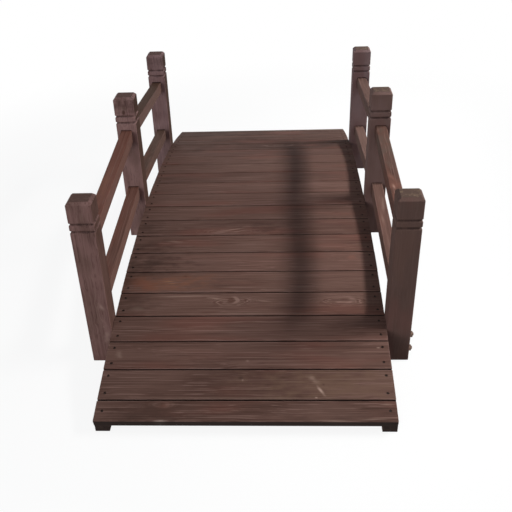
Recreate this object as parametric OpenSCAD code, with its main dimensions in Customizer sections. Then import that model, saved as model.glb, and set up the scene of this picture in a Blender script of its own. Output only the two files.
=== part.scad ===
// Arched garden footbridge in stained softwood.
// Two bow-cut stringers carry flat deck boards; six square posts stand against the stringers' outer
// faces, and straight rails run from post to post in shallow mortises.
// Frame: origin on the ground under the middle of the deck, +Y along the walkway, +X to the right, +Z up.

/* [Deck] */
// Length of a deck board, which is the width of the walkway
deck_w = 570; // [480:5:760]
// Thickness of a deck board
board_t = 15; // [12:0.5:24]
// Width of a full deck board
board_w = 72; // [60:0.5:84]
// Width of the narrow board at each end of the deck
end_board_w = 47.5; // [36:0.5:60]
// Open joint between neighbouring boards
board_gap = 2.5; // [1.5:0.1:5]
// How many full boards lie between the two end boards
full_boards = 19; // [17:2:21]
// Radius of the walking surface along the bridge
arch_r = 3050; // [2700:10:3400]
// Bevel along the upper edges of a board
board_bevel = 1.5; // [0.5:0.1:3]

/* [Stringers] */
// Thickness of a stringer
stringer_t = 28; // [20:1:40]
// Depth of a stringer at the middle of the bridge
stringer_depth = 75; // [60:1:85]
// Height of a stringer's toe, under the end board
toe_h = 17.5; // [10:0.5:26]
// How far a stringer's toe stays behind the deck's end
toe_setback = 3; // [0:0.5:12]

/* [Posts] */
// Side of the square post
post_w = 50; // [40:1:64]
// Length of a post
post_l = 373; // [320:1:460]
// Distance along the bridge from a middle post to an end post
post_pitch = 500; // [420:5:580]
// Bevel round the top of a post
cap_bevel = 6; // [3:0.5:12]
// Bevel along the upright edges of a post
post_bevel = 1.5; // [0.5:0.1:3]
// Distance from the post's top down to the middle of the first groove
groove_drop = 46; // [30:0.5:52]
// Distance between the middles of the two grooves
groove_pitch = 16; // [12:0.5:22]
// Width of a groove at the post's face
groove_w = 7; // [4:0.5:10]
// Depth of a groove
groove_d = 3.5; // [1.5:0.1:5]

/* [Rails] */
// Thickness of a rail across the bridge
rail_t = 27; // [20:0.5:32]
// Height of a rail
rail_h = 30; // [24:0.5:40]
// Distance from a post's top down to the top rail, at the post's face
top_rail_drop = 82; // [76:0.5:110]
// Distance from a post's top down to the lower rail, at the post's face
lower_rail_drop = 232; // [180:0.5:260]
// How far a rail lies in from the outer face of its posts
rail_inset = 10; // [4:0.5:14]
// Bevel along the edges of a rail
rail_bevel = 1.5; // [0.5:0.1:3]
// Length of rail that goes into a post
tenon_l = 15; // [8:0.5:18]
// Slack left above a rail in its mortise
mortise_slack = 1.5; // [0:0.1:3]
// Slack left past the end of a rail in its mortise
mortise_end_gap = 1; // [0.5:0.1:3]

/* [Hidden] */
// Facets round the underside's full circle, fine enough for an arc this flat
arch_facets = 1440;
// Overrun of every cut past the faces it opens
overrun = 5;

// Colours of the stained wood, as seen on each kind of piece
board_colour = "#63463b";
stringer_colour = "#4a352d";
post_colour = "#5c4742";
rail_colour = "#6b4a3f";

// Deck boards are numbered from the front end; the first and the last are narrow
board_count = full_boards + 2;
last_board = board_count - 1;
board_pitch = board_w + board_gap;
full_run = full_boards * board_pitch - board_gap;
end_board_arc = full_run / 2 + board_gap + end_board_w / 2;
function is_end_board(i) = i == 0 || i == last_board;
function board_width(i) = is_end_board(i) ? end_board_w : board_w;
function board_arc(i) =
    is_end_board(i) ? sign(i - last_board / 2) * end_board_arc : (i - last_board / 2) * board_pitch;
function board_angle(i) = board_arc(i) / arch_r * 180 / PI;

// The boards' undersides are tangents of the seat circle, and the stringers' upper edges follow them
seat_r = arch_r - board_t;
end_angle = board_angle(last_board);
stringer_half_l = seat_r * sin(end_angle) + end_board_w / 2 * cos(end_angle) - toe_setback;
end_seat_run = (stringer_half_l - seat_r * sin(end_angle)) / cos(end_angle);
arch_centre_z = toe_h - seat_r * cos(end_angle) + end_seat_run * sin(end_angle);
underside_r = seat_r - stringer_depth;
underside_z = arch_centre_z + underside_r;
function on_arch(r, angle) = [r * sin(angle), arch_centre_z + r * cos(angle)];
function seat_corner(i) =
    let (turn = (board_angle(i + 1) - board_angle(i)) / 2)
    on_arch(seat_r / cos(turn), board_angle(i) + turn);

// Posts stand in three rows on each side; the middle row ends level with the stringers' underside
side_names = ["left", "right"];
row_names = ["front", "middle", "back"];
middle_row = 1;
function side_sign(side) = side == 0 ? -1 : 1;
function post_y(row) = (row - middle_row) * post_pitch;
function post_foot_z(row) = row == middle_row ? underside_z : 0;
post_x = deck_w / 2 + post_w / 2;

// Rails fall from the middle post's face to the end post's face by the difference of their feet
bay_names = ["front", "back"];
level_names = ["top", "lower"];
rail_drops = [top_rail_drop, lower_rail_drop];
rail_x = deck_w / 2 + post_w - rail_inset - rail_t / 2;
rail_span = post_pitch - post_w;
rail_slope = atan(underside_z / rail_span);
function bay_sign(bay) = bay == 0 ? -1 : 1;
function bays_of_row(row) = row == middle_row ? [0, 1] : row < middle_row ? [0] : [1];

function stringer_name(side) = str(side_names[side], "_stringer");
function board_name(i) = str("deck_board_", i + 1 < 10 ? "0" : "", i + 1);
function post_name(row, side) = str(row_names[row], "_", side_names[side], "_post");
function rail_name(bay, side, level) =
    str(bay_names[bay], "_", side_names[side], "_", level_names[level], "_rail");

sides = [0, 1];
rows = [0, 1, 2];
bays = [0, 1];
levels = [0, 1];

// Sweeps a profile drawn as (along the bridge, up) across the bridge, about the middle of its length
module across(length) {
    rotate([90, 0, 90])
        linear_extrude(height = length, center = true)
            children();
}

// Rectangle standing on zero height, with its two upper corners bevelled
module board_profile(width) {
    half = width / 2;
    polygon([
        [-half, 0],
        [half, 0],
        [half, board_t - board_bevel],
        [half - board_bevel, board_t],
        [board_bevel - half, board_t],
        [-half, board_t - board_bevel]
    ]);
}

// Rectangle about the origin with all four corners bevelled
module bevelled_rectangle(width, height, bevel) {
    x = width / 2;
    y = height / 2;
    polygon([
        [bevel - x, -y],
        [x - bevel, -y],
        [x, bevel - y],
        [x, y - bevel],
        [x - bevel, y],
        [bevel - x, y],
        [-x, y - bevel],
        [-x, bevel - y]
    ]);
}

// Flat board laid across both stringers, square to the arch at its own middle
module deck_board(i) {
    color(board_colour)
        translate([0, 0, arch_centre_z])
            rotate([-board_angle(i), 0, 0])
                translate([0, 0, seat_r])
                    across(deck_w)
                        board_profile(board_width(i));
}

// Side outline of a stringer before its underside is cut: flat on the ground, one flat seat per board
module stringer_outline() {
    seats = [for (i = [0 : last_board - 1]) seat_corner(i)];
    polygon(concat(
        [[-stringer_half_l, 0], [-stringer_half_l, toe_h]],
        seats,
        [[stringer_half_l, toe_h], [stringer_half_l, 0]]
    ));
}

// Bow-cut stringer: its underside is an arc about the same centre as the deck, ending in flat feet
module stringer(side) {
    color(stringer_colour)
        translate([side_sign(side) * (deck_w - stringer_t) / 2, 0, 0])
            difference() {
                across(stringer_t) stringer_outline();
                translate([0, 0, arch_centre_z])
                    rotate([0, 90, 0])
                        cylinder(
                            r = underside_r,
                            h = stringer_t + 2 * overrun,
                            center = true,
                            $fn = arch_facets
                        );
            }
}

// Front view of a post: two V grooves and a bevelled top, the same on both edges
module post_profile() {
    half = post_w / 2;
    groove_heights = [post_l - groove_drop - groove_pitch, post_l - groove_drop];
    edge = concat(
        [[half, 0]],
        [
            for (z = groove_heights)
                each [[half, z - groove_w / 2], [half - groove_d, z], [half, z + groove_w / 2]]
        ],
        [[half, post_l - cap_bevel], [half - cap_bevel, post_l]]
    );
    other_edge = [for (i = [len(edge) - 1 : -1 : 0]) [-edge[i].x, edge[i].y]];
    polygon(concat(edge, other_edge));
}

// Post before its mortises: the same profile seen from the front and from the side
module post_blank() {
    intersection() {
        rotate([90, 0, 0])
            linear_extrude(height = post_w, center = true)
                post_profile();
        across(post_w) post_profile();
        linear_extrude(height = post_l)
            bevelled_rectangle(post_w, post_w, post_bevel);
    }
}

// Straight rail of one bay, with room added above it and past its ends where it is used as a cut
module rail_bar(bay, side, level, slack = 0, end_gap = 0) {
    length = rail_span / cos(rail_slope) + 2 * (tenon_l + end_gap);
    top_z = underside_z + post_l - rail_drops[level];
    mirror([0, bay_sign(bay) < 0 ? 1 : 0, 0])
        translate([side_sign(side) * rail_x, post_w / 2, top_z])
            rotate([-rail_slope, 0, 0])
                translate([0, -tenon_l - end_gap, -rail_h])
                    rotate([90, 0, 180])
                        linear_extrude(height = length)
                            translate([0, (rail_h + slack) / 2])
                                bevelled_rectangle(rail_t, rail_h + slack, rail_bevel);
}

// Square post against the stringer's outer face, mortised for the rails that meet it
module post(row, side) {
    color(post_colour)
        difference() {
            translate([side_sign(side) * post_x, post_y(row), post_foot_z(row)])
                post_blank();
            for (bay = bays_of_row(row), level = levels)
                rail_bar(bay, side, level, mortise_slack, mortise_end_gap);
        }
}

// Rail housed in the mortises of the two posts of its bay
module rail(bay, side, level) {
    color(rail_colour)
        rail_bar(bay, side, level);
}

for (side = sides)
    stringer(side);
for (i = [0 : last_board])
    deck_board(i);
for (row = rows, side = sides)
    post(row, side);
for (bay = bays, side = sides, level = levels)
    rail(bay, side, level);
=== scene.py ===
import math
import random

import bmesh
import bpy
from mathutils import Matrix, Quaternion, Vector


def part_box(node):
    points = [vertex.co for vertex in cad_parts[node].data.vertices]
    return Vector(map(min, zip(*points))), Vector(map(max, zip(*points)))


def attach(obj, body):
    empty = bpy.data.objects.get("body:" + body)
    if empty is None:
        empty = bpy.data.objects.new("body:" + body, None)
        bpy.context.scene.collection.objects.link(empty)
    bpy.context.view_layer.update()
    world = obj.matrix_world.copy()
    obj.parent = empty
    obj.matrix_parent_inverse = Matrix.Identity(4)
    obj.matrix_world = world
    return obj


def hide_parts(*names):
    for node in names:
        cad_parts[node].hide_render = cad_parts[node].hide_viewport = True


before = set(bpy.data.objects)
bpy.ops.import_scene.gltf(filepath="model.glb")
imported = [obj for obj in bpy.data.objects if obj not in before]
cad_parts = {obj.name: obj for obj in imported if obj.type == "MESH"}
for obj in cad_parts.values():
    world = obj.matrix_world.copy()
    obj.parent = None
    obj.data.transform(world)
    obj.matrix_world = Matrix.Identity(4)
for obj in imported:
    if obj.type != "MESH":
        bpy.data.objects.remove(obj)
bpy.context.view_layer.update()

# Stringers: the two bow-cut side beams that carry the deck, sawn from 28 mm fir plank and stained.
# They stand on a flat foot at each end. The boards are screwed down into their upper edges, and the
# posts are bolted against their outer faces.
MM = 0.001
endless_mm = 1e6
stringer_arris = 0.8 * MM
stringer_seed = 10
stringer_pale = "#5b433a"
stringer_deep = "#3a2923"
stringer_flush = "#553229"


def linear(hex_colour):
    """Linear colour of an sRGB hex value."""
    channels = [int(hex_colour[i:i + 2], 16) / 255 for i in (1, 3, 5)]
    return [c / 12.92 if c <= 0.04045 else ((c + 0.055) / 1.055) ** 2.4 for c in channels] + [1]


def add_node(tree, kind, inputs, output=0, **settings):
    """Adds a node. An input is a value or another node's output, and the node's own output is returned.

    A Mix of colours has them at inputs 6 and 7, and its result at output 2.
    """
    node = tree.nodes.new(kind)
    for name, value in settings.items():
        setattr(node, name, value)
    for socket, value in inputs.items():
        if isinstance(value, bpy.types.NodeSocket):
            tree.links.new(value, node.inputs[socket])
        else:
            node.inputs[socket].default_value = value
    return node.outputs[output]


def merged_copy(node):
    """The solid of a CAD node, with its triangles merged into the flat faces that they make up."""
    weld_gap = 0.01 * MM
    flat_angle = math.radians(0.05)
    bm = bmesh.new()
    bm.from_mesh(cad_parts[node].data)
    bmesh.ops.remove_doubles(bm, verts=bm.verts, dist=weld_gap)
    bmesh.ops.dissolve_limit(bm, angle_limit=flat_angle, verts=bm.verts, edges=bm.edges)
    return bm


def lie_of(bm, facing):
    """Middle, axes and half size of a piece: along its grain, across it, and out of its main face."""
    least_facing = 0.9
    longest = max(bm.edges, key=lambda edge: edge.calc_length())
    along = (longest.verts[1].co - longest.verts[0].co).normalized()
    along *= math.copysign(1, max(along, key=abs))
    faces = [face for face in bm.faces if face.normal.dot(facing) > least_facing]
    out = max(faces, key=lambda face: face.calc_area()).normal.copy()
    axes = Matrix((along, out.cross(along), out)).transposed()
    corners = [axes.transposed() @ vert.co for vert in bm.verts]
    low = Vector([min(values) for values in zip(*corners)])
    high = Vector([max(values) for values in zip(*corners)])
    return axes @ ((low + high) / 2), axes, (high - low) / 2


def ease_arrises(bm, arris):
    """Rubs the outward edges round, as sandpaper does."""
    sharp = math.radians(20)
    outward = [edge for edge in bm.edges if edge.calc_face_angle_signed(0) > sharp]
    bmesh.ops.bevel(bm, geom=outward, offset=arris, affect="EDGES", segments=2, profile=0.5, material=-1,
                    clamp_overlap=True)


def stained_fir(name, lie, seed, pale, deep, flush, figure=0.38, grain=1, run=1, wave_mm=8, ring_mm=4,
                heart_mm=(40, -110), tilt=0.01, knots=(), marks=(), end_tone="#28211f", end_speck="#3d322d",
                face_tints=(), rub_mm=2):
    """Planed fir under one thin coat of brown stain, gone matt.

    The growth rings show through as pale and dark lines along the grain, and bend round the knots.
    The stain lies redder or greyer in patches, the arrises are rubbed paler, and end grain has its own tone.
    Pale and deep are the ends of its tone, and flush is its red where the stain lies thick.
    Figure and grain are how strongly rings and fibres show, run how long the fibres are, and wave_mm how far
    they wander. The heart of the tree lies heart_mm across the piece and out of its main face.
    A knot is (along, across, half length, half width, bend, darkness, glow) and a mark is
    (along, across, half length, half width, turn in degrees, colour, strength), with lengths in millimetres.
    A mark with the half width endless_mm runs right across the piece.
    A face tint is (direction, strength, colour), for the faces that look that way; on some pieces it is
    painted light or shade on one side.
    """
    middle, axes, half = lie
    material = bpy.data.materials.new(name)
    material.use_nodes = True
    tree = material.node_tree
    tree.nodes.clear()

    # Places on the piece in millimetres, with x along the grain and z out of the main face. The patterns are
    # read at a place of the piece's own, so that no two pieces are alike.
    farthest_mm = 900
    draw = random.Random(seed)
    shift = [draw.uniform(-farthest_mm, farthest_mm) for axis in range(3)]
    coords = add_node(tree, "ShaderNodeTexCoord", {}, "Object")
    placed = {"Vector": coords, "Location": middle, "Rotation": axes.to_euler(), "Scale": [MM] * 3}
    local = add_node(tree, "ShaderNodeMapping", placed, vector_type="TEXTURE")
    moved = add_node(tree, "ShaderNodeVectorMath", {0: local, 1: shift}, operation="ADD")

    # Fibres wander across the board as they run along it
    wave_length_mm = 110
    wave_width_mm = 45
    wander = {0: moved, 1: (1 / (run * wave_length_mm), 1 / wave_width_mm, 1 / wave_width_mm)}
    wander = add_node(tree, "ShaderNodeVectorMath", wander, operation="MULTIPLY")
    wander = add_node(tree, "ShaderNodeTexNoise", {"Vector": wander, "Scale": 1, "Detail": 1})
    wander = add_node(tree, "ShaderNodeMath", {0: wander, 1: wave_mm}, operation="MULTIPLY")
    wander = add_node(tree, "ShaderNodeCombineXYZ", {"Y": wander, "Z": wander})
    wavy = add_node(tree, "ShaderNodeVectorMath", {0: moved, 1: wander}, operation="ADD")

    # Length and width of each pattern's flecks in millimetres, and how far they break up into finer ones.
    # Real fibres are under 0.1 mm wide: they are drawn coarser to show.
    flecks = {
        "sway": (600, 70, 0),
        "patch": (260, 55, 1.5),
        "cloud": (150, 45, 1),
        "streak": (500, 8, 1),
        "fibre": (260, 2.4, 3),
        "rub": (40, 8, 2),
        "blot": (30, 14, 2),
    }
    pattern = {}
    for kind, (length, width, detail) in flecks.items():
        laid = wavy if kind in ("streak", "fibre") else moved
        cells = {0: laid, 1: (1 / (run * length), 1 / width, 1 / width)}
        cells = add_node(tree, "ShaderNodeVectorMath", cells, operation="MULTIPLY")
        noise = {"Vector": cells, "Scale": 1, "Detail": detail, "Roughness": 0.55}
        pattern[kind] = add_node(tree, "ShaderNodeTexNoise", noise)

    # Growth rings: distance from the heart of the tree, swayed by the noise and pushed out by knots
    sway_mm = 10
    leaned = {"Vector": local, "Location": (0, -heart_mm[0], -heart_mm[1]), "Rotation": (0, tilt, 0)}
    leaned = add_node(tree, "ShaderNodeMapping", leaned, vector_type="POINT")
    leaned = add_node(tree, "ShaderNodeVectorMath", {0: leaned, 1: (0, 1, 1)}, operation="MULTIPLY")
    radius = add_node(tree, "ShaderNodeVectorMath", {0: leaned}, "Value", operation="LENGTH")
    radius = {0: pattern["sway"], 1: sway_mm, 2: radius}
    radius = add_node(tree, "ShaderNodeMath", radius, operation="MULTIPLY_ADD")

    # A knot is a dark core with a pale cheek at one end, in an eye of rings. Each is an uneven ellipse, with
    # its offset and stretch along the grain in half lengths of the knot. It fades in or out between two
    # distances from its middle, where 1 is its edge.
    shapes = {"core": (0, 1), "cheek": (0.6, 1.1), "eye": (0, 2.6)}
    uneven_edge = 0.8
    cheek_gain = 2
    bend_reach = 3
    core_fade = (0.4, 1.0)
    eye_fade = (2.4, 0.9)
    cheek_fade = (1.3, 0.9)
    beside_core = (0.8, 1.1)
    eyes = []
    for along, across, half_length, half_width, bend_mm, darkness, glow in knots:
        reach = {}
        for shape, (offset, stretch) in shapes.items():
            oval = {"Vector": local, "Location": (along + offset * half_length, across, 0),
                    "Scale": (stretch * half_length, half_width, endless_mm)}
            oval = add_node(tree, "ShaderNodeMapping", oval, vector_type="TEXTURE")
            oval = add_node(tree, "ShaderNodeVectorMath", {0: oval}, "Value", operation="LENGTH")
            oval = {0: pattern["rub"], 1: uneven_edge, 2: oval}
            oval = add_node(tree, "ShaderNodeMath", oval, operation="MULTIPLY_ADD")
            oval = {0: oval, 1: uneven_edge / 2}
            reach[shape] = add_node(tree, "ShaderNodeMath", oval, operation="SUBTRACT")
        bend = {"Value": reach["eye"], "From Max": bend_reach, "To Min": bend_mm, "To Max": 0}
        bend = add_node(tree, "ShaderNodeMapRange", bend, interpolation_type="SMOOTHERSTEP")
        radius = add_node(tree, "ShaderNodeMath", {0: radius, 1: bend}, operation="ADD")
        core = {"Value": reach["core"], "From Min": core_fade[0], "From Max": core_fade[1],
                "To Min": darkness, "To Max": 0}
        core = add_node(tree, "ShaderNodeMapRange", core, interpolation_type="SMOOTHSTEP")
        halo = {"Value": reach["eye"], "From Min": eye_fade[0], "From Max": eye_fade[1], "To Max": glow}
        halo = add_node(tree, "ShaderNodeMapRange", halo, interpolation_type="SMOOTHSTEP")
        cheek = {"Value": reach["cheek"], "From Min": cheek_fade[0], "From Max": cheek_fade[1],
                 "To Max": min(1, cheek_gain * darkness * glow)}
        cheek = add_node(tree, "ShaderNodeMapRange", cheek, interpolation_type="SMOOTHSTEP")
        beside = {"Value": reach["core"], "From Min": beside_core[0], "From Max": beside_core[1]}
        beside = add_node(tree, "ShaderNodeMapRange", beside)
        cheek = add_node(tree, "ShaderNodeMath", {0: cheek, 1: beside}, operation="MULTIPLY")
        eyes.append((core, cheek, halo))
    rings = {"W": radius, "Scale": 1 / ring_mm, "Detail": 2, "Roughness": 0.6}
    pattern["rings"] = add_node(tree, "ShaderNodeTexNoise", rings, noise_dimensions="1D")

    # Tone: clouds, rings, streaks and fibres added about the middle of the range
    weights = {"cloud": 0.45, "rings": figure, "streak": 0.3 * grain, "fibre": 0.6 * grain}
    tone = 0.5 - sum(weights.values()) / 2
    for kind, weight in weights.items():
        tone = {0: pattern[kind], 1: weight, 2: tone}
        tone = add_node(tree, "ShaderNodeMath", tone, operation="MULTIPLY_ADD")
    colour = {0: tone, 6: linear(deep), 7: linear(pale)}
    colour = add_node(tree, "ShaderNodeMix", colour, 2, data_type="RGBA")

    # Stain: redder where it lies thick, greyer brown where it is thin. Raised fibres are rubbed pale,
    # and open ones hold more of it. A layer is (pattern, colour, where it starts, where it is full, most).
    thin_stain = "#644b43"
    rubbed_brown = "#80655d"
    soaked_brown = "#31201a"
    layers = (
        ("patch", flush, 0.5, 0.7, 0.45),
        ("patch", thin_stain, 0.5, 0.3, 0.55),
        ("fibre", rubbed_brown, 0.56, 0.67, 0.5 * grain),
        ("fibre", soaked_brown, 0.44, 0.33, 0.38 * grain),
    )
    for kind, tint, start, full, most in layers:
        amount = {"Value": pattern[kind], "From Min": start, "From Max": full, "To Max": most}
        amount = add_node(tree, "ShaderNodeMapRange", amount, interpolation_type="SMOOTHSTEP")
        colour = {0: amount, 6: colour, 7: linear(tint)}
        colour = add_node(tree, "ShaderNodeMix", colour, 2, data_type="RGBA")

    # Knots in an eye of pale and dark rings, and the scuffs and patches of this one piece
    knot_brown = "#45291f"
    ring_tan = "#93776d"
    eye_rings = ((ring_tan, 0.5, 0.64), (knot_brown, 0.48, 0.28))
    for core, cheek, halo in eyes:
        for tint, start, full in eye_rings:
            line = {"Value": pattern["rings"], "From Min": start, "From Max": full}
            line = add_node(tree, "ShaderNodeMapRange", line)
            line = add_node(tree, "ShaderNodeMath", {0: line, 1: halo}, operation="MULTIPLY")
            colour = {0: line, 6: colour, 7: linear(tint)}
            colour = add_node(tree, "ShaderNodeMix", colour, 2, data_type="RGBA")
        for amount, tint in ((cheek, ring_tan), (core, knot_brown)):
            colour = {0: amount, 6: colour, 7: linear(tint)}
            colour = add_node(tree, "ShaderNodeMix", colour, 2, data_type="RGBA")
    small_mark_mm = 6
    small_blots = 0.4
    large_blots = 2.4
    mark_fade = (-0.3, 1.1)
    for along, across, half_length, half_width, angle, tint, strength in marks:
        reach = {"Vector": local, "Location": (along, across, 0), "Rotation": (0, 0, math.radians(angle)),
                 "Scale": (half_length, half_width, endless_mm)}
        reach = add_node(tree, "ShaderNodeMapping", reach, vector_type="TEXTURE")
        reach = add_node(tree, "ShaderNodeVectorMath", {0: reach}, "Value", operation="LENGTH")
        blots = large_blots if half_width > small_mark_mm else small_blots
        ragged = {"fibre": 1.0, "rub": 1.0, "blot": blots}
        for kind, depth in ragged.items():
            reach = {0: pattern[kind], 1: depth, 2: reach}
            reach = add_node(tree, "ShaderNodeMath", reach, operation="MULTIPLY_ADD")
        average = sum(ragged.values()) / 2
        amount = {"Value": reach, "From Min": average + mark_fade[0], "From Max": average + mark_fade[1],
                  "To Min": strength, "To Max": 0}
        amount = add_node(tree, "ShaderNodeMapRange", amount, interpolation_type="SMOOTHSTEP")
        colour = {0: amount, 6: colour, 7: linear(tint)}
        colour = add_node(tree, "ShaderNodeMix", colour, 2, data_type="RGBA")

    # Arrises: close to two faces at once, rubbed paler here and there. Inputs 8 to 10 are the vector's From
    # Max, To Min and To Max.
    depth = add_node(tree, "ShaderNodeVectorMath", {0: local}, operation="ABSOLUTE")
    depth = add_node(tree, "ShaderNodeVectorMath", {0: half / MM, 1: depth}, operation="SUBTRACT")
    near = {"Vector": depth, 8: [rub_mm] * 3, 9: [1] * 3, 10: [0] * 3}
    near = add_node(tree, "ShaderNodeMapRange", near, "Vector", data_type="FLOAT_VECTOR")
    near = add_node(tree, "ShaderNodeVectorMath", {0: near, 1: (1, 1, 1)}, "Value", operation="DOT_PRODUCT")
    arris = {"Value": near, "From Min": 1, "From Max": 2}
    arris = add_node(tree, "ShaderNodeMapRange", arris)
    patchy = {"Value": pattern["rub"], "From Min": 0.4, "From Max": 0.66, "To Max": 0.8}
    patchy = add_node(tree, "ShaderNodeMapRange", patchy)
    arris = add_node(tree, "ShaderNodeMath", {0: arris, 1: patchy}, operation="MULTIPLY")
    colour = {0: arris, 6: colour, 7: linear(rubbed_brown)}
    colour = add_node(tree, "ShaderNodeMix", colour, 2, data_type="RGBA")

    # Speckled end grain, and faces that look one way given a tone of their own, which on some pieces is
    # painted light or shade on one side
    end_strength = 0.85
    square_on = (0.8, 0.95)
    normal = add_node(tree, "ShaderNodeTexCoord", {}, "Normal")
    speckle = {"Value": pattern["rub"], "From Min": 0.5, "From Max": 0.7, "To Max": 0.6}
    speckle = add_node(tree, "ShaderNodeMapRange", speckle)
    speckle = {0: speckle, 6: linear(end_tone), 7: linear(end_speck)}
    end_colour = add_node(tree, "ShaderNodeMix", speckle, 2, data_type="RGBA")
    tinted = [(axes.col[0], end_strength, end_colour), (-axes.col[0], end_strength, end_colour)]
    tinted += [(direction, strength, linear(tint)) for direction, strength, tint in face_tints]
    for direction, strength, tint in tinted:
        facing = {0: normal, 1: direction}
        facing = add_node(tree, "ShaderNodeVectorMath", facing, "Value", operation="DOT_PRODUCT")
        amount = {"Value": facing, "From Min": square_on[0], "From Max": square_on[1], "To Max": strength}
        amount = add_node(tree, "ShaderNodeMapRange", amount)
        colour = {0: amount, 6: colour, 7: tint}
        colour = add_node(tree, "ShaderNodeMix", colour, 2, data_type="RGBA")

    # Matt skin: pale fibres are a little smoother than dark ones, and paler wood stands a little higher
    relief_depth = 0.3 * MM
    rough = {"Value": pattern["fibre"], "From Min": 0.3, "From Max": 0.7, "To Min": 0.98, "To Max": 0.86}
    rough = add_node(tree, "ShaderNodeMapRange", rough)
    relief = {"Height": tone, "Strength": 0.5, "Distance": relief_depth}
    relief = add_node(tree, "ShaderNodeBump", relief)
    shader = {"Base Color": colour, "Roughness": rough, "Normal": relief, "Specular IOR Level": 0.15}
    shader = add_node(tree, "ShaderNodeBsdfPrincipled", shader)
    tree.links.new(shader, tree.nodes.new("ShaderNodeOutputMaterial").inputs["Surface"])
    return material


def make_piece(name, bm, material):
    """Ends the modelling of a piece: its mesh, material and body."""
    mesh = bpy.data.meshes.new(name)
    bm.to_mesh(mesh)
    bm.free()
    mesh.materials.append(material)
    piece = bpy.data.objects.new(name, mesh)
    bpy.context.scene.collection.objects.link(piece)
    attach(piece, "root")
    return piece


sides = {"left": -1, "right": 1}
for number, (side, sign) in enumerate(sides.items()):
    node = side + "_stringer"
    bm = merged_copy(node)
    lie = lie_of(bm, Vector((sign, 0, 0)))
    ease_arrises(bm, stringer_arris)
    seed = stringer_seed + number
    fir = stained_fir("stained_fir_" + node, lie, seed, stringer_pale, stringer_deep, stringer_flush)
    piece = make_piece("stained_" + node, bm, fir)
    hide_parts(node)

# Deck boards: 21 flat fir boards laid across the stringers with an open joint between them.
# Each is sawn, planed with eased edges and stained, and a round hole is sunk near its ends for each screw:
# two an end on a full board, one on the narrow first and last boards.
board_arris = 0.9 * MM
board_rub_mm = 3
board_seed = 100
board_growth = {"across_mm": 120, "depths_mm": (60, 160), "rings_mm": (3, 5), "most_tilt": 0.012}
board_tones = {
    "light": ("#75574e", "#4a332c"),
    "usual": ("#6f5249", "#453029"),
    "dark": ("#6a4e46", "#422d26"),
    "brown": ("#5e443c", "#392620"),
    "far_shaded": ("#563d34", "#32201b"),
}
# The farthest boards, 18 to 21, get the darkest tone: painted shade for the far end of the deck, which also
# offsets the sheen they show at a grazing angle.
board_kinds = {1: "brown", 2: "brown", 3: "dark", 4: "dark", 7: "light", 9: "dark", 11: "light", 12: "light",
               13: "dark", 16: "dark", 17: "brown", 18: "far_shaded", 19: "far_shaded", 20: "far_shaded", 21: "far_shaded"}
board_flush = "#6a4138"
# The long edge faces of each board are darkened: partly sawn grain that soaks up stain, partly painted shade
# on the front edge and in the open joints.
sawn_and_shaded_brown = "#28201d"
sawn_and_shade_strength = 0.9
end_trim_mm = 0.9
screw_edge_mm = 15.5
screw_scatter_mm = 1.0
scatter_seed = 21
hole_r = 2.9 * MM
hole_depth = 3.0 * MM
hole_sides = 16
scuff_tan = "#8c7468"
pale_scuff = "#a68c7f"
chip_white = "#b5a196"
patch_red = "#7c5044"
dirt_and_shade_brown = "#3b2a24"
rust_orange = "#80523d"
rust_red = "#6d3a2d"
rust_tan = "#ab7d58"
worn_red = "#85584b"
worn_tan = "#675041"
board_knots = {
    1: ((-157, 14, 8, 6, 6, 0.3, 0.2),),
    5: ((-40, 12, 10, 10, 18, 0.55, 0.4), (204, 11, 14, 10, 24, 0.25, 0.36), (-8, 12, 6, 4, 5, 0.6, 0.2)),
    9: ((-58, -22, 15, 9, 20, 0.0, 0.15),),
    17: ((60, 8, 12, 8, 14, 0.0, 0.7),),
}
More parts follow.
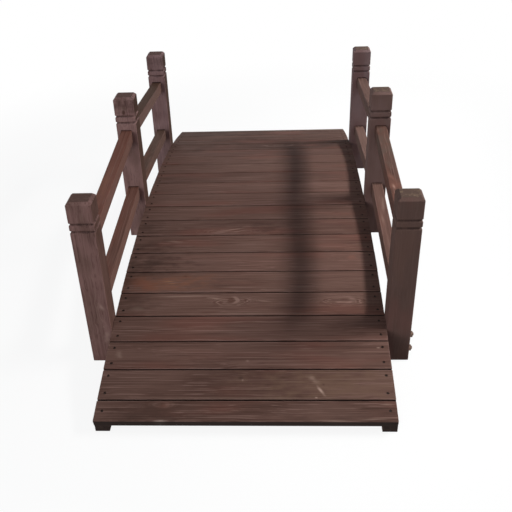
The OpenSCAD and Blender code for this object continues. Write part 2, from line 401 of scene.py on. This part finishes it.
# The broad dark marks at the left ends of boards 5 to 9, 20 and 21 are partly dirt and partly painted shade
# of the posts and rails.
board_marks = {
    1: ((-157, -23, 18, 4, 0, chip_white, 0.9), (170, -22, 46, 3, -2, scuff_tan, 0.8),
        (240, -18, 40, 2, 3, scuff_tan, 0.6), (-152, 12, 20, 10, 0, patch_red, 0.35),
        (-190, -6, 130, 30, 0, dirt_and_shade_brown, 0.6), (185, -16, 28, 5, 0, dirt_and_shade_brown, 0.5),
        (265, 15, 18, 3, 0, scuff_tan, 0.6), (190, 0, 150, 60, 0, dirt_and_shade_brown, 0.3)),
    2: ((170, 0, 190, 80, 0, worn_tan, 0.5), (130, 12, 17, 9, -50, scuff_tan, 0.45),
        (144, -15, 17, 4.2, -58, pale_scuff, 0.95), (135, -32, 4, 2.5, 0, pale_scuff, 0.9),
        (150, -1, 4, 4, 0, dirt_and_shade_brown, 0.5), (-10, 15, 7, 5, 0, dirt_and_shade_brown, 0.7),
        (-6, 10, 3, 3, 0, scuff_tan, 0.7), (64, 10, 14, 6, 0, dirt_and_shade_brown, 0.3),
        (0, -33, 260, 4, 0, scuff_tan, 0.3)),
    3: ((-258, 2, 12, 14, 0, scuff_tan, 0.6), (263, 18, 4, 2, 0, pale_scuff, 0.5),
        (-56, -18, 60, 4, 1, dirt_and_shade_brown, 0.6), (2, -16, 6, 4, 0, scuff_tan, 0.6),
        (30, -22, 16, 2.5, 0, dirt_and_shade_brown, 0.6)),
    5: ((-145, 25, 90, 4, 1, pale_scuff, 0.45), (-72, 17, 26, 3, -12, scuff_tan, 0.8),
        (30, 8, 24, 2.5, -6, scuff_tan, 0.7), (-250, 6, 70, 60, 0, dirt_and_shade_brown, 0.45),
        (-240, -16, 20, 8, 0, scuff_tan, 0.25), (20, -32, 240, 4.5, 0, scuff_tan, 0.4)),
    6: ((-210, -2, 150, 44, 0, rust_orange, 0.55), (-255, -10, 60, 34, 0, rust_red, 0.3),
        (-180, 2, 16, 2, 0, rust_tan, 0.5), (-174, -5, 14, 1.8, 2, rust_tan, 0.5),
        (-225, 30, 110, 16, 0, dirt_and_shade_brown, 0.7), (-278, 0, 30, 60, 0, dirt_and_shade_brown, 0.7),
        (-66, -20, 26, 9, 0, dirt_and_shade_brown, 0.35)),
    7: ((-235, 0, 110, 70, 0, dirt_and_shade_brown, 0.75), (232, 12, 16, 9, 0, worn_red, 0.35)),
    8: ((-185, 10, 32, 5, -6, scuff_tan, 0.6), (-245, -16, 90, 36, 0, dirt_and_shade_brown, 0.55)),
    9: ((-58, -14, 46, 4, 15, pale_scuff, 0.5), (-40, -21, 34, 3, 13, scuff_tan, 0.7),
        (-74, -25, 30, 3, 12, scuff_tan, 0.7), (31, -5, 62, 34, 0, dirt_and_shade_brown, 0.55),
        (-262, 6, 50, 50, 0, dirt_and_shade_brown, 0.5)),
    15: ((-10, -6, 60, 9, 0, dirt_and_shade_brown, 0.4),),
    16: ((-205, 24, 50, 16, 0, dirt_and_shade_brown, 0.5),),
    17: ((-186, -30, 40, 14, 0, dirt_and_shade_brown, 0.5), (150, 5, 60, 20, 0, patch_red, 0.3)),
    20: ((-180, 0, 220, 90, 0, dirt_and_shade_brown, 0.8),),
    21: ((-130, 0, 300, 90, 0, dirt_and_shade_brown, 0.9),),
}
boards = sorted(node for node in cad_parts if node.startswith("deck_board_"))
rests = [sum(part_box(side + "_stringer"), Vector()).x / 2 for side in sides]
scatter = random.Random(scatter_seed)
screw_places = []


def drilled(name, bm, holes):
    """The board with a round hole sunk at each place, cut by one boolean."""
    drill = bmesh.new()
    for hole in holes:
        bmesh.ops.create_cone(drill, cap_ends=True, segments=hole_sides, radius1=hole_r, radius2=hole_r,
                              depth=2 * hole_depth, matrix=hole)
    solids = []
    for part_name, part in ((name + "_blank", bm), (name + "_drill", drill)):
        mesh = bpy.data.meshes.new(part_name)
        part.to_mesh(mesh)
        part.free()
        solid = bpy.data.objects.new(part_name, mesh)
        bpy.context.scene.collection.objects.link(solid)
        solids.append(solid)
    cut = solids[0].modifiers.new("holes", "BOOLEAN")
    cut.operation = "DIFFERENCE"
    cut.solver = "EXACT"
    cut.object = solids[1]
    whole = solids[0].evaluated_get(bpy.context.evaluated_depsgraph_get())
    result = bmesh.new()
    result.from_mesh(whole.to_mesh())
    for solid in solids:
        bpy.data.objects.remove(solid)
    return result


def growth(seed, across_mm, depths_mm, rings_mm, most_tilt):
    """Where in the log a piece was sawn: place of the heart, width of the rings, and tilt of the grain."""
    draw = random.Random(seed)
    across = draw.uniform(-across_mm, across_mm)
    depth = draw.choice((-1, 1)) * draw.uniform(*depths_mm)
    ring_mm = draw.uniform(*rings_mm)
    return {"heart_mm": (across, depth), "ring_mm": ring_mm, "tilt": draw.uniform(-most_tilt, most_tilt)}


for number, node in enumerate(boards, 1):
    bm = merged_copy(node)
    lie = lie_of(bm, Vector((0, 0, 1)))
    middle, axes, half = lie
    trims = [scatter.uniform(0, end_trim_mm) * MM for side in sides]
    for sign, trim in zip(sides.values(), trims):
        end = [vert for vert in bm.verts if vert.co.x * sign > 0]
        bmesh.ops.translate(bm, verts=end, vec=(-sign * trim, 0, 0))
    ease_arrises(bm, board_arris)
    narrow = node in (boards[0], boards[-1])
    rows = (0,) if narrow else (screw_edge_mm * MM - half.y, half.y - screw_edge_mm * MM)
    holes = []
    for rest in rests:
        for row in rows:
            off = [scatter.uniform(-screw_scatter_mm, screw_scatter_mm) * MM for axis in range(2)]
            on_board = Vector((rest + off[0], row + off[1], half.z))
            driven = Matrix.Rotation(scatter.uniform(0, math.pi), 4, "Z")
            hole = Matrix.Translation(middle) @ axes.to_4x4() @ Matrix.Translation(on_board)
            holes.append(hole @ driven)
    bm = drilled(node, bm, holes)
    screw_places += holes
    pale, deep = board_tones[board_kinds.get(number, "usual")]
    seed = board_seed + number
    fir = stained_fir("stained_fir_" + node, lie, seed, pale, deep, board_flush,
                      knots=board_knots.get(number, ()), marks=board_marks.get(number, ()),
                      face_tints=[(way * axes.col[1], sawn_and_shade_strength, sawn_and_shaded_brown) for way in (-1, 1)],
                      rub_mm=board_rub_mm, **growth(seed, **board_growth))
    piece = make_piece("stained_" + node, bm, fir)
    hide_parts(node)

# Deck screws: cross-slotted wood screws driven through the boards into the stringers.
# Zinc-plated steel darkened by the stain; each head sits a little below the board's face.
head_r = 2.7 * MM
head_sink = 1.2 * MM
head_taper = 1.6 * MM
neck_share = 0.55
slot_half = 0.45 * MM
slot_reach = 1.6 * MM
slot_depth = 1.0 * MM
screw_dark = "#1d1512"
screw_pale = "#3d3029"
screw_roughness = 0.5


def stained_steel(name, dark, pale, roughness):
    """Zinc-plated steel gone dull under stain and weather: dark, patchy, with a low metal gleam."""
    tarnish_mm = 2.5
    roughness_spread = 0.12
    material = bpy.data.materials.new(name)
    material.use_nodes = True
    tree = material.node_tree
    tree.nodes.clear()
    coords = add_node(tree, "ShaderNodeTexCoord", {}, "Object")
    tarnish = {"Vector": coords, "Scale": 1 / (tarnish_mm * MM), "Detail": 3}
    tarnish = add_node(tree, "ShaderNodeTexNoise", tarnish)
    colour = {0: tarnish, 6: linear(dark), 7: linear(pale)}
    colour = add_node(tree, "ShaderNodeMix", colour, 2, data_type="RGBA")
    rough = {"Value": tarnish, "To Min": roughness - roughness_spread, "To Max": roughness + roughness_spread}
    rough = add_node(tree, "ShaderNodeMapRange", rough)
    shader = {"Base Color": colour, "Roughness": rough, "Metallic": 0.7}
    shader = add_node(tree, "ShaderNodeBsdfPrincipled", shader)
    tree.links.new(shader, tree.nodes.new("ShaderNodeOutputMaterial").inputs["Surface"])
    return material


# The head starts as a square grid, whose lines are moved to the edges of the slot and of the round head
grid_lines = (-head_r, -slot_reach, -slot_half, slot_half, slot_reach, head_r)
last_line = len(grid_lines) - 1
grid_step = 2 * head_r / last_line
screw = bmesh.new()
bmesh.ops.create_grid(screw, x_segments=last_line, y_segments=last_line, size=head_r)
for vert in screw.verts:
    column, row = [round((value + head_r) / grid_step) for value in vert.co.xy]
    vert.co = (grid_lines[column], grid_lines[row], 0)
    if column in (0, last_line) or row in (0, last_line):
        vert.co = vert.co.normalized() * head_r
cross = []
for face in screw.faces:
    centre = face.calc_center_median()
    if min(abs(centre.x), abs(centre.y)) < slot_half / 2 and centre.length < slot_reach:
        cross.append(face)
slot = bmesh.ops.extrude_face_region(screw, geom=cross)["geom"]
slot = [part for part in slot if isinstance(part, bmesh.types.BMVert)]
bmesh.ops.delete(screw, geom=cross, context="FACES_ONLY")
bmesh.ops.translate(screw, verts=slot, vec=(0, 0, -slot_depth))
rim = [edge for edge in screw.edges if edge.is_boundary]
skirt = bmesh.ops.extrude_edge_only(screw, edges=rim)["geom"]
skirt = [part for part in skirt if isinstance(part, bmesh.types.BMVert)]
bmesh.ops.translate(screw, verts=skirt, vec=(0, 0, -head_taper))
bmesh.ops.scale(screw, verts=skirt, vec=(neck_share, neck_share, 1))
bmesh.ops.recalc_face_normals(screw, faces=screw.faces)
one_screw = bpy.data.meshes.new("deck_screw")
screw.to_mesh(one_screw)
screw.free()
bm = bmesh.new()
sunk = Matrix.Translation((0, 0, -head_sink))
for hole in screw_places:
    before = len(bm.verts)
    bm.from_mesh(one_screw)
    bm.verts.ensure_lookup_table()
    bmesh.ops.transform(bm, verts=bm.verts[before:], matrix=hole @ sunk)
screw_steel = stained_steel("stained_zinc_plated_steel", screw_dark, screw_pale, screw_roughness)
make_piece("deck_screws", bm, screw_steel)

# Posts: six square fir posts, each sawn with two V grooves round it and a bevelled top.
# They stand outside the stringers, mortised for the rails, and are held by two bolts each.
post_arris = 0.7 * MM
post_seed = 200
post_growth = {"across_mm": 70, "depths_mm": (40, 90), "rings_mm": (3, 4.5), "most_tilt": 0.015}
# The left posts are given much paler tones than the right ones: partly their own tone, partly painted light
# on the left and painted shade on the right.
post_tones = {
    "front_left_post": ("#9d7973", "#593d39"),
    "middle_left_post": ("#b38e89", "#7b5c58"),
    "back_left_post": ("#ae8c8b", "#7b6060"),
    "front_right_post": ("#6c544d", "#4a3833"),
    "middle_right_post": ("#846964", "#5b4742"),
    "back_right_post": ("#947a79", "#695555"),
}
post_flush = "#6d4a44"
# The faces of the left posts that look inward are painted darker: painted shade on one side.
inner_face_shade = "#402a1c"
inner_shade_strengths = {"front_left_post": 0.6, "middle_left_post": 0.85, "back_left_post": 0.85}
post_kinds = {
    "left": {"figure": 0.5, "grain": 0.9, "run": 0.4, "wave_mm": 14,
             "end_tone": "#5a423b", "end_speck": "#745850"},
    "right": {"figure": 0.12, "grain": 0.15, "run": 0.5, "wave_mm": 8,
              "end_tone": "#503f37", "end_speck": "#826e59"},
}
groove_drops_mm = (46, 62)
groove_half_mm = 3.5
# A dark band is painted over each groove: partly stain soaked into the sawn groove, partly painted shade in
# it.
groove_stain_and_shade = "#2e211e"
groove_stain_and_shade_strength = 0.6
upper_scuff = "#a78a80"
lower_scuff = "#9f8278"
post_knots = {
    "front_left_post": ((-60, -6, 8, 6, 10, 0.1, 0.35),),
    "middle_left_post": ((150, 2, 8, 6, 10, 0.7, 0.3),),
}
# The middle and back left posts are darker over the top of the cap.
post_marks = {
    "front_left_post": ((-48, -12, 14, 6, 20, upper_scuff, 0.75), (-121, -14, 28, 8, 0, lower_scuff, 0.65)),
    "middle_left_post": ((166, 0, 26, endless_mm, 0, dirt_and_shade_brown, 0.6),),
    "back_left_post": ((166, 0, 26, endless_mm, 0, dirt_and_shade_brown, 0.4),),
}
posts = [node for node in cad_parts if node.endswith("_post")]
rightward = Vector((1, 0, 0))
for number, node in enumerate(posts):
    bm = merged_copy(node)
    lie = lie_of(bm, Vector((0, -1, 0)))
    ease_arrises(bm, post_arris)
    top_mm = lie[2].x / MM
    marks = list(post_marks.get(node, ()))
    for drop in groove_drops_mm:
        marks.append((top_mm - drop, 0, groove_half_mm, endless_mm, 0, groove_stain_and_shade, groove_stain_and_shade_strength))
    face_tints = []
    if node in inner_shade_strengths:
        face_tints.append((rightward, inner_shade_strengths[node], inner_face_shade))
    pale, deep = post_tones[node]
    seed = post_seed + number
    fir = stained_fir("stained_fir_" + node, lie, seed, pale, deep, post_flush,
                      knots=post_knots.get(node, ()), marks=marks, face_tints=face_tints,
                      **growth(seed, **post_growth), **post_kinds["left" if "left" in node else "right"])
    piece = make_piece("stained_" + node, bm, fir)
    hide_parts(node)

# Post bolts: two zinc-plated carriage bolts hold each post to its stringer, one above the other.
# On the right a washer and a hexagon nut close it on the post and its low domed head is inside; on the
# left it is put in from the post, and the nut is inside.
bolt_heights_mm = (14.2, 49.4)
thread_r = 3.9 * MM
thread_end = 2.2 * MM
washer_r = 8.2 * MM
washer_t = 1.5 * MM
nut_r = 7.4 * MM
nut_t = 6.2 * MM
nut_sides = 6
chamfer = 0.8 * MM
dome_r = 8.5 * MM
dome_h = 2.4 * MM
dome_steps = 5
stud_sides = 16
rim_sides = 24
bolt_dark = "#3d302a"
bolt_pale = "#8a7062"
bolt_roughness = 0.42


def turned(outline, sides_round, matrix):
    """A piece turned about its axis from half of its section, given as (radius, height) points."""
    weld_gap = 0.001 * MM
    bm = bmesh.new()
    verts = [bm.verts.new((r, 0, z)) for r, z in outline]
    edges = [bm.edges.new(pair) for pair in zip(verts, verts[1:])]
    bmesh.ops.spin(bm, geom=verts + edges, cent=(0, 0, 0), axis=(0, 0, 1), angle=2 * math.pi,
                   steps=sides_round, use_merge=True)
    bmesh.ops.remove_doubles(bm, verts=bm.verts, dist=weld_gap)
    bmesh.ops.recalc_face_normals(bm, faces=bm.faces)
    bmesh.ops.transform(bm, verts=bm.verts, matrix=matrix)
    mesh = bpy.data.meshes.new("turned")
    bm.to_mesh(mesh)
    bm.free()
    return mesh


bore = thread_r
washer = [(bore, 0), (washer_r, 0), (washer_r, washer_t), (bore, washer_t), (bore, 0)]
nut_top = washer_t + nut_t
nut = [(bore, washer_t), (nut_r, washer_t), (nut_r, nut_top - chamfer),
       (nut_r - chamfer, nut_top), (bore, nut_top)]
stud_top = nut_top + thread_end
stud = [(bore, nut_top - chamfer), (bore, stud_top - chamfer), (bore - chamfer, stud_top), (0, stud_top)]
dome_angles = [math.pi / 2 * i / dome_steps for i in range(dome_steps + 1)]
dome = [(dome_r * math.cos(angle), dome_h * math.sin(angle)) for angle in dome_angles]
bolts = bmesh.new()
for node in posts:
    low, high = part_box(node)
    sign = math.copysign(1, low.x)
    outer_x = max(low.x, high.x, key=abs)
    stringer_low, stringer_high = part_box(("left" if sign < 0 else "right") + "_stringer")
    inner_x = min(stringer_low.x, stringer_high.x, key=abs)
    outward = Matrix.Rotation(sign * math.pi / 2, 4, "Y")
    for height in bolt_heights_mm:
        axis_at = Vector((0, (low.y + high.y) / 2, low.z + height * MM))
        outside = Matrix.Translation(axis_at + Vector((outer_x, 0, 0))) @ outward
        inside = Matrix.Translation(axis_at + Vector((inner_x, 0, 0))) @ outward.inverted()
        nut_end, head_end = (outside, inside) if sign > 0 else (inside, outside)
        bolts.from_mesh(turned(washer, rim_sides, nut_end))
        bolts.from_mesh(turned(nut, nut_sides, nut_end))
        bolts.from_mesh(turned(stud, stud_sides, nut_end))
        bolts.from_mesh(turned(dome, rim_sides, head_end))
bolt_steel = stained_steel("weathered_zinc_plated_steel", bolt_dark, bolt_pale, bolt_roughness)
make_piece("post_bolts", bolts, bolt_steel)

# Rails: eight straight fir rails, a top and a lower one in each bay, sloping from the middle posts
# down to the end ones. Each is planed, stained and pushed into shallow mortises in the posts.
rail_arris = 0.8 * MM
rail_seed = 300
rail_growth = {"across_mm": 60, "depths_mm": (40, 90), "rings_mm": (3, 4.5), "most_tilt": 0.02}
rail_tones = {
    "front_left_top_rail": ("#8d6053", "#603c33"),
    "front_left_lower_rail": ("#7c5246", "#513129"),
    "front_right_top_rail": ("#694b42", "#412b25"),
    "front_right_lower_rail": ("#73544b", "#48322c"),
    "back_left_top_rail": ("#7f665f", "#554039"),
    "back_left_lower_rail": ("#6d554c", "#48342d"),
    "back_right_top_rail": ("#6e534b", "#4a3731"),
    "back_right_lower_rail": ("#785c54", "#513c35"),
}
rail_flush = "#6e4336"
# The upper faces of the back left rails are painted darker: painted shade on their tops.
upper_face_shade = "#412b1c"
upper_shade_strengths = {"back_left_top_rail": 0.8, "back_left_lower_rail": 0.35}
# The inward faces of the left rails are painted paler and greyer: painted light on one side.
inner_face_light = "#87695f"
inner_light_strengths = {"front_left_top_rail": 0.45, "front_left_lower_rail": 0.45, "back_left_top_rail": 0.6,
                  "back_left_lower_rail": 0.2}
grey_stretch = "#584a42"
red_stretch = "#85574a"
rail_chip = "#b08a7a"
rail_scuff = "#93776c"
warm_stretch = "#8a5c49"
rail_marks = {
    "front_right_top_rail": ((120, 0, 170, 40, 0, grey_stretch, 0.7), (-90, 0, 100, 20, 0, red_stretch, 0.6),
                             (-70, 4, 14, 4, 8, rail_chip, 0.7)),
    "front_right_lower_rail": ((60, 4, 40, 5, 4, rail_scuff, 0.6), (120, -4, 50, 5, -3, rail_scuff, 0.5)),
    "front_left_top_rail": ((-40, 2, 90, 12, 0, warm_stretch, 0.5),),
}
rails = [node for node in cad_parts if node.endswith("_rail")]
for number, node in enumerate(rails):
    bm = merged_copy(node)
    lie = lie_of(bm, Vector((0, 0, 1)))
    ease_arrises(bm, rail_arris)
    upward = lie[1].col[2]
    face_tints = [(upward, upper_shade_strengths.get(node, 0), upper_face_shade),
                  (rightward, inner_light_strengths.get(node, 0), inner_face_light)]
    pale, deep = rail_tones[node]
    seed = rail_seed + number
    fir = stained_fir("stained_fir_" + node, lie, seed, pale, deep, rail_flush,
                      marks=rail_marks.get(node, ()), face_tints=face_tints, **growth(seed, **rail_growth))
    piece = make_piece("stained_" + node, bm, fir)
    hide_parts(node)

# Floor: a sheet of matt white studio paper that the bridge stands on, wide enough to fill the view.
# It is one flat face that lies a hair below the feet. Its sizes are in metres.
floor_half = 14
floor_drop = 0.3 * MM
paper_white = "#f4f4f4"
plain_white = "#ffffff"
bounce_grey = "#808080"
plain_share = 0.9
runs_out = (0.9, 1.8)
under_half = (0.3, 0.72)
under_edge = (0.93, 1)


def seen(tree):
    """1 for rays from the camera, straight or by way of gloss or glass, and 0 for all others."""
    rays = [add_node(tree, "ShaderNodeLightPath", {}, kind)
            for kind in ("Is Camera Ray", "Is Glossy Ray", "Is Transmission Ray")]
    mirrored = add_node(tree, "ShaderNodeMath", {0: rays[0], 1: rays[1]}, operation="MAXIMUM")
    return add_node(tree, "ShaderNodeMath", {0: mirrored, 1: rays[2]}, operation="MAXIMUM")


bm = bmesh.new()
bmesh.ops.create_grid(bm, x_segments=1, y_segments=1, size=floor_half,
                      matrix=Matrix.Translation((0, 0, -floor_drop)))
floor_mesh = bpy.data.meshes.new("floor")
bm.to_mesh(floor_mesh)
bm.free()
floor = bpy.data.objects.new("floor", floor_mesh)
bpy.context.scene.collection.objects.link(floor)

# Matt white paper: what the camera sees of it is part lit paper and part plain white, so that the shadow
# stays soft. Away from the bridge it runs out to plain white, and under the deck it is lit paper alone.
# The light that it throws up to the wood is a grey floor's, so that the undersides stay dark.
paper = bpy.data.materials.new("matt_white_paper")
paper.use_nodes = True
tree = paper.node_tree
tree.nodes.clear()
lit = add_node(tree, "ShaderNodeBsdfDiffuse", {"Color": linear(paper_white)})
plain = add_node(tree, "ShaderNodeEmission", {"Color": linear(plain_white), "Strength": 1})
spot = add_node(tree, "ShaderNodeTexCoord", {}, "Object")
away = add_node(tree, "ShaderNodeVectorMath", {0: spot}, "Value", operation="LENGTH")
share = {"Value": away, "From Min": runs_out[0], "From Max": runs_out[1], "To Min": plain_share, "To Max": 1}
share = add_node(tree, "ShaderNodeMapRange", share, interpolation_type="SMOOTHSTEP")
deck = {"Vector": spot, "Scale": (*under_half, 1)}
deck = add_node(tree, "ShaderNodeMapping", deck, vector_type="TEXTURE")
deck = add_node(tree, "ShaderNodeVectorMath", {0: deck}, operation="ABSOLUTE")
deck_x = add_node(tree, "ShaderNodeSeparateXYZ", {"Vector": deck}, "X")
deck_y = add_node(tree, "ShaderNodeSeparateXYZ", {"Vector": deck}, "Y")
beyond = add_node(tree, "ShaderNodeMath", {0: deck_x, 1: deck_y}, operation="MAXIMUM")
beyond = {"Value": beyond, "From Min": under_edge[0], "From Max": under_edge[1]}
beyond = add_node(tree, "ShaderNodeMapRange", beyond)
share = add_node(tree, "ShaderNodeMath", {0: share, 1: beyond}, operation="MULTIPLY")
shown = add_node(tree, "ShaderNodeMixShader", {0: share, 1: lit, 2: plain})
bounce = add_node(tree, "ShaderNodeBsdfDiffuse", {"Color": linear(bounce_grey)})
surface = add_node(tree, "ShaderNodeMixShader", {0: seen(tree), 1: bounce, 2: shown})
tree.links.new(surface, tree.nodes.new("ShaderNodeOutputMaterial").inputs["Surface"])
floor_mesh.materials.append(paper)

# Studio light: a strip lamp on the right, a broad lamp in front on the left, a weaker one behind, and an
# even, faintly cool room. Together they bring a face that looks up to about the colour of its material.
# Each lamp is (place, aim, roll in degrees, length, width, spread in degrees, colour, watts), in metres.
lamps = {
    "key": ((1.865, 0.25, 1.665), (0.38, 0.06, 0.12), -8, 2.8, 0.26, 44, "#fffdfa", 10.3),
    "fill": ((-2.4, -5.6, 0.8), (0, 0, 0.12), 0, 3.6, 2.2, 180, "#ffffff", 131),
    "back": ((-1.8, 3.5, 0.6), (0, 0, 0.12), 0, 1.3, 1.3, 180, "#ffffff", 20),
}
room_light = 0.33
room_tint = "#ecf6ff"
for name, (lamp_at, aim, lamp_roll, length, width, spread, tint, watts) in lamps.items():
    lamp = bpy.data.lights.new(name, "AREA")
    lamp.shape = "RECTANGLE"
    lamp.size = length
    lamp.size_y = width
    lamp.spread = math.radians(spread)
    lamp.color = linear(tint)[:3]
    lamp.energy = watts
    lamp_object = bpy.data.objects.new(name, lamp)
    lamp_object.location = lamp_at
    towards = Vector(aim) - lamp_object.location
    aimed = towards.to_track_quat("-Z", "Y") @ Quaternion((0, 0, 1), math.radians(lamp_roll))
    lamp_object.rotation_euler = aimed.to_euler()
    bpy.context.scene.collection.objects.link(lamp_object)
room = bpy.data.worlds.new("white_room")
bpy.context.scene.world = room
room.use_nodes = True
tree = room.node_tree
tree.nodes.clear()
dim = add_node(tree, "ShaderNodeBackground", {"Color": linear(room_tint), "Strength": room_light})
white = add_node(tree, "ShaderNodeBackground", {"Color": linear(plain_white), "Strength": 1})
walls = add_node(tree, "ShaderNodeMixShader", {0: seen(tree), 1: dim, 2: white})
tree.links.new(walls, tree.nodes.new("ShaderNodeOutputWorld").inputs["Surface"])

# Camera: stands before the front end and a little to the right, looking down along the deck.
# Its lens and place bring the deck's edges and the posts to where the photograph has them.
frame_px = 512
focal_px = 736.2
middle_px = (245.7, 307.8)
sensor_mm = 36
camera_at = Vector((76.9, -1759.8, 968.9)) * MM
yaw = math.radians(-3.686)
pitch = math.radians(33.982)
roll = math.radians(-2.406)
lens = bpy.data.cameras.new("camera")
lens.sensor_width = sensor_mm
lens.lens = focal_px / frame_px * sensor_mm
lens.shift_x = 0.5 - middle_px[0] / frame_px
lens.shift_y = middle_px[1] / frame_px - 0.5
camera = bpy.data.objects.new("camera", lens)
look = Matrix.Rotation(-yaw, 4, "Z") @ Matrix.Rotation(math.pi / 2 - pitch, 4, "X")
look = look @ Matrix.Rotation(roll, 4, "Z")
camera.matrix_world = Matrix.Translation(camera_at) @ look
bpy.context.scene.collection.objects.link(camera)
bpy.context.scene.camera = camera
bpy.context.scene.view_settings.view_transform = "Standard"
